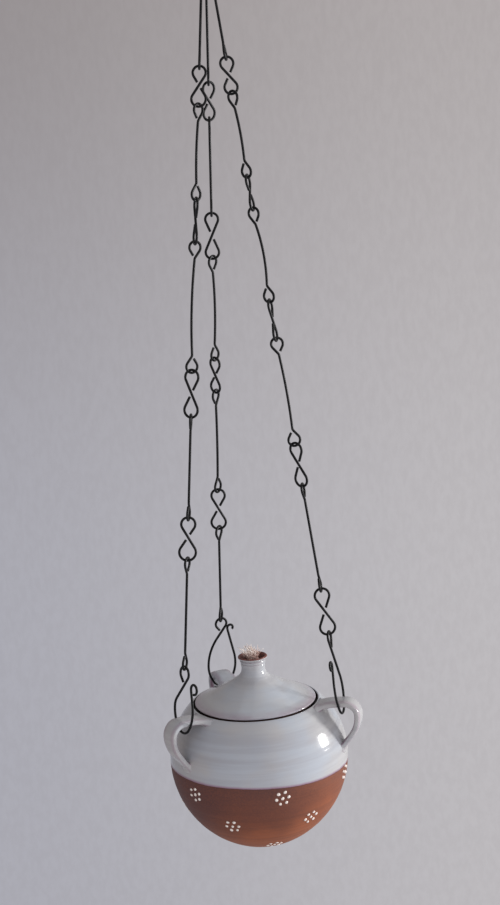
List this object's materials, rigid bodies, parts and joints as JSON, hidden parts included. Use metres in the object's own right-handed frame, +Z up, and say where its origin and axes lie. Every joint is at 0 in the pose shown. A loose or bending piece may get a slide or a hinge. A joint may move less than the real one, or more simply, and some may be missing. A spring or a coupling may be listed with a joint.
{
  "type": "hanging oil lamp",
  "caption": "Round glazed clay oil lamp with a conical lid and wick, hung by three ears on chains of bent wire rods and links from a ring and hook.",
  "frame": {"origin": "where the hook rests on its nail, at the top of the lamp", "axes": "+Z up; the gathering ring lies in the XZ plane; -Y is the side that the picture shows"},
  "size_m": [0.1426, 0.1394, 0.6949],
  "materials": {
    "glazed_clay": "gloss",
    "lid_clay": "gloss",
    "steel_wire": "dark annealed steel wire, satin",
    "cotton": "twisted cotton cord"
  },
  "bodies": {
    "hanging_hook": {"hanging_hook": "steel_wire"},
    "gather_ring": {"gather_ring": "steel_wire"},
    "pot": {"pot_body": "glazed_clay", "ear_left": "glazed_clay", "ear_back": "glazed_clay", "ear_right": "glazed_clay"},
    "lid": {"lid": "lid_clay"},
    "wick": {"wick": "cotton"},
    "rod_left_1": {"rod_left_1": "steel_wire"},
    "s_link_left_1": {"s_link_left_1": "steel_wire"},
    "rod_left_2": {"rod_left_2": "steel_wire"},
    "s_link_left_2": {"s_link_left_2": "steel_wire"},
    "rod_left_3": {"rod_left_3": "steel_wire"},
    "s_link_left_3": {"s_link_left_3": "steel_wire"},
    "rod_left_4": {"rod_left_4": "steel_wire"},
    "s_link_left_4": {"s_link_left_4": "steel_wire"},
    "rod_left_5": {"rod_left_5": "steel_wire"},
    "bail_left": {"bail_left": "steel_wire"},
    "rod_back_1": {"rod_back_1": "steel_wire"},
    "s_link_back_1": {"s_link_back_1": "steel_wire"},
    "rod_back_2": {"rod_back_2": "steel_wire"},
    "s_link_back_2": {"s_link_back_2": "steel_wire"},
    "rod_back_3": {"rod_back_3": "steel_wire"},
    "s_link_back_3": {"s_link_back_3": "steel_wire"},
    "rod_back_4": {"rod_back_4": "steel_wire"},
    "s_link_back_4": {"s_link_back_4": "steel_wire"},
    "rod_back_5": {"rod_back_5": "steel_wire"},
    "bail_back": {"bail_back": "steel_wire"},
    "rod_right_1": {"rod_right_1": "steel_wire"},
    "s_link_right_1": {"s_link_right_1": "steel_wire"},
    "rod_right_2": {"rod_right_2": "steel_wire"},
    "s_link_right_2": {"s_link_right_2": "steel_wire"},
    "rod_right_3": {"rod_right_3": "steel_wire"},
    "s_link_right_3": {"s_link_right_3": "steel_wire"},
    "rod_right_4": {"rod_right_4": "steel_wire"},
    "s_link_right_4": {"s_link_right_4": "steel_wire"},
    "rod_right_5": {"rod_right_5": "steel_wire"},
    "s_link_right_5": {"s_link_right_5": "steel_wire"},
    "bail_right": {"bail_right": "steel_wire"}
  },
  "joints": [
    {"name": "ring_swing", "type": "hinge", "parent": "hanging_hook", "child": "gather_ring", "pos_m": [0, 0, -0.04693], "axis": [1, 0, 0], "range_deg": [-40, 40]},
    {"name": "lamp_swing", "type": "hinge", "parent": "gather_ring", "child": "pot", "pos_m": [0, 0, -0.05993], "axis": [0, 1, 0], "range_deg": [-35, 35]},
    {"name": "lid_lift", "type": "slide", "parent": "pot", "child": "lid", "axis": [0, 0, 1], "range_m": [0, 0.08]},
    {"name": "wick_feed", "type": "slide", "parent": "lid", "child": "wick", "axis": [0, 0, 1], "range_m": [-0.004, 0.02]},
    {"name": "rod_left_1_twist", "type": "hinge", "parent": "pot", "child": "rod_left_1", "pos_m": [-0.0027, 0, -0.07103], "axis": [0.0947, 0.0725, 0.9929], "range_deg": [-7, 7]},
    {"name": "s_link_left_1_twist", "type": "hinge", "parent": "pot", "child": "s_link_left_1", "pos_m": [-0.00885, -0.00471, -0.13557], "axis": [0.0947, 0.0725, 0.9929], "range_deg": [-12, 12]},
    {"name": "rod_left_2_twist", "type": "hinge", "parent": "pot", "child": "rod_left_2", "pos_m": [-0.01122, -0.00653, -0.16039], "axis": [0.0947, 0.0725, 0.9929], "range_deg": [-9, 9]},
    {"name": "s_link_left_2_twist", "type": "hinge", "parent": "pot", "child": "s_link_left_2", "pos_m": [-0.01718, -0.01109, -0.22295], "axis": [0.0947, 0.0725, 0.9929], "range_deg": [-9, 9]},
    {"name": "rod_left_3_twist", "type": "hinge", "parent": "pot", "child": "rod_left_3", "pos_m": [-0.01998, -0.01323, -0.25224], "axis": [0.0947, 0.0725, 0.9929], "range_deg": [-8, 8]},
    {"name": "s_link_left_3_twist", "type": "hinge", "parent": "pot", "child": "s_link_left_3", "pos_m": [-0.02831, -0.01961, -0.33962], "axis": [0.0947, 0.0725, 0.9929], "range_deg": [-8, 8]},
    {"name": "rod_left_4_twist", "type": "hinge", "parent": "pot", "child": "rod_left_4", "pos_m": [-0.03124, -0.02186, -0.3704], "axis": [0.0947, 0.0725, 0.9929], "range_deg": [-20, 20]},
    {"name": "s_link_left_4_twist", "type": "hinge", "parent": "pot", "child": "s_link_left_4", "pos_m": [-0.03806, -0.02708, -0.44189], "axis": [0.0947, 0.0725, 0.9929], "range_deg": [-22, 22]},
    {"name": "rod_left_5_twist", "type": "hinge", "parent": "pot", "child": "rod_left_5", "pos_m": [-0.04075, -0.02914, -0.47019], "axis": [0.0947, 0.0725, 0.9929], "range_deg": [-7, 7]},
    {"name": "bail_left_twist", "type": "hinge", "parent": "pot", "child": "bail_left", "pos_m": [-0.04814, -0.0348, -0.54764], "axis": [0.0947, 0.0725, 0.9929], "range_deg": [-5, 5]},
    {"name": "rod_back_1_twist", "type": "hinge", "parent": "pot", "child": "rod_back_1", "pos_m": [0, 0, -0.07131], "axis": [0.0462, -0.1144, 0.9924], "range_deg": [-5, 5]},
    {"name": "s_link_back_1_twist", "type": "hinge", "parent": "pot", "child": "s_link_back_1", "pos_m": [-0.00349, 0.00863, -0.14624], "axis": [0.0462, -0.1144, 0.9924], "range_deg": [-5, 5]},
    {"name": "rod_back_2_twist", "type": "hinge", "parent": "pot", "child": "rod_back_2", "pos_m": [-0.0046, 0.01138, -0.17005], "axis": [0.0462, -0.1144, 0.9924], "range_deg": [-5, 5]},
    {"name": "s_link_back_2_twist", "type": "hinge", "parent": "pot", "child": "s_link_back_2", "pos_m": [-0.00765, 0.01893, -0.23555], "axis": [0.0462, -0.1144, 0.9924], "range_deg": [-5, 5]},
    {"name": "rod_back_3_twist", "type": "hinge", "parent": "pot", "child": "rod_back_3", "pos_m": [-0.00906, 0.02241, -0.26582], "axis": [0.0462, -0.1144, 0.9924], "range_deg": [-5, 5]},
    {"name": "s_link_back_3_twist", "type": "hinge", "parent": "pot", "child": "s_link_back_3", "pos_m": [-0.01247, 0.03088, -0.33926], "axis": [0.0462, -0.1144, 0.9924], "range_deg": [-25, 25]},
    {"name": "rod_back_4_twist", "type": "hinge", "parent": "pot", "child": "rod_back_4", "pos_m": [-0.01358, 0.03362, -0.36308], "axis": [0.0462, -0.1144, 0.9924], "range_deg": [-13, 13]},
    {"name": "s_link_back_4_twist", "type": "hinge", "parent": "pot", "child": "s_link_back_4", "pos_m": [-0.0171, 0.04231, -0.4385], "axis": [0.0462, -0.1144, 0.9924], "range_deg": [-13, 13]},
    {"name": "rod_back_5_twist", "type": "hinge", "parent": "pot", "child": "rod_back_5", "pos_m": [-0.01843, 0.04563, -0.46728], "axis": [0.0462, -0.1144, 0.9924], "range_deg": [-8, 8]},
    {"name": "bail_back_twist", "type": "hinge", "parent": "pot", "child": "bail_back", "pos_m": [-0.02185, 0.05409, -0.54072], "axis": [0.0462, -0.1144, 0.9924], "range_deg": [-5, 5]},
    {"name": "rod_right_1_twist", "type": "hinge", "parent": "pot", "child": "rod_right_1", "pos_m": [0.0027, 0, -0.07103], "axis": [-0.1128, 0.0361, 0.993], "range_deg": [-7, 7]},
    {"name": "s_link_right_1_twist", "type": "hinge", "parent": "pot", "child": "s_link_right_1", "pos_m": [0.00947, -0.00216, -0.1306], "axis": [-0.1128, 0.0361, 0.993], "range_deg": [-10, 10]},
    {"name": "rod_right_2_twist", "type": "hinge", "parent": "pot", "child": "rod_right_2", "pos_m": [0.01206, -0.00299, -0.15344], "axis": [-0.1128, 0.0361, 0.993], "range_deg": [-10, 10]},
    {"name": "s_link_right_2_twist", "type": "hinge", "parent": "pot", "child": "s_link_right_2", "pos_m": [0.0185, -0.00505, -0.21004], "axis": [-0.1128, 0.0361, 0.993], "range_deg": [-14, 14]},
    {"name": "rod_right_3_twist", "type": "hinge", "parent": "pot", "child": "rod_right_3", "pos_m": [0.02103, -0.00586, -0.23238], "axis": [-0.1128, 0.0361, 0.993], "range_deg": [-21, 21]},
    {"name": "s_link_right_3_twist", "type": "hinge", "parent": "pot", "child": "s_link_right_3", "pos_m": [0.02825, -0.00817, -0.29593], "axis": [-0.1128, 0.0361, 0.993], "range_deg": [-15, 15]},
    {"name": "rod_right_4_twist", "type": "hinge", "parent": "pot", "child": "rod_right_4", "pos_m": [0.0313, -0.00914, -0.32274], "axis": [-0.1128, 0.0361, 0.993], "range_deg": [-7, 7]},
    {"name": "s_link_right_4_twist", "type": "hinge", "parent": "pot", "child": "s_link_right_4", "pos_m": [0.03976, -0.01185, -0.39721], "axis": [-0.1128, 0.0361, 0.993], "range_deg": [-7, 7]},
    {"name": "rod_right_5_twist", "type": "hinge", "parent": "pot", "child": "rod_right_5", "pos_m": [0.04309, -0.01291, -0.4265], "axis": [-0.1128, 0.0361, 0.993], "range_deg": [-15, 15]},
    {"name": "s_link_right_5_twist", "type": "hinge", "parent": "pot", "child": "s_link_right_5", "pos_m": [0.05178, -0.01569, -0.50296], "axis": [-0.1128, 0.0361, 0.993], "range_deg": [-21, 21]},
    {"name": "bail_right_twist", "type": "hinge", "parent": "pot", "child": "bail_right", "pos_m": [0.05539, -0.01684, -0.53473], "axis": [-0.1128, 0.0361, 0.993], "range_deg": [-5, 5]}
  ]
}
